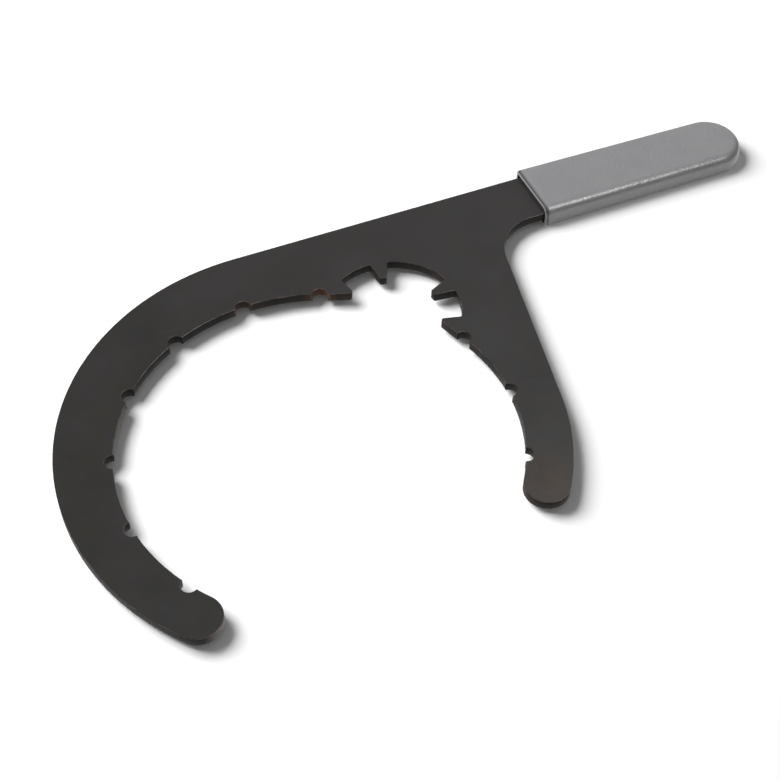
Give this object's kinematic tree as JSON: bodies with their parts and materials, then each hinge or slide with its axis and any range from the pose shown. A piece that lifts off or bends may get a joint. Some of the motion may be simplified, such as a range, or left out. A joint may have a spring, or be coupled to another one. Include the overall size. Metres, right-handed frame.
{
  "type": "open-jaw collar wrench",
  "caption": "Flat open-jaw steel collar wrench with half-round rim notches, a small toothed opening and a soft vinyl grip.",
  "frame": {"origin": "middle of the wrench's outline seen from above, at the height of the grip's underside", "axes": "+X along the handle to the grip's round end, the jaw opens towards -Y, +Z out of the plate's upper face"},
  "size_m": [0.3354, 0.1688, 0.0088],
  "materials": {
    "black_steel": "satin black oxide, with bare brownish laser-cut walls",
    "grey_vinyl": "satin, finely pebbled soft vinyl"
  },
  "bodies": {
    "root": {"wrench_plate": "black_steel", "vinyl_grip": "grey_vinyl"}
  },
  "joints": []
}
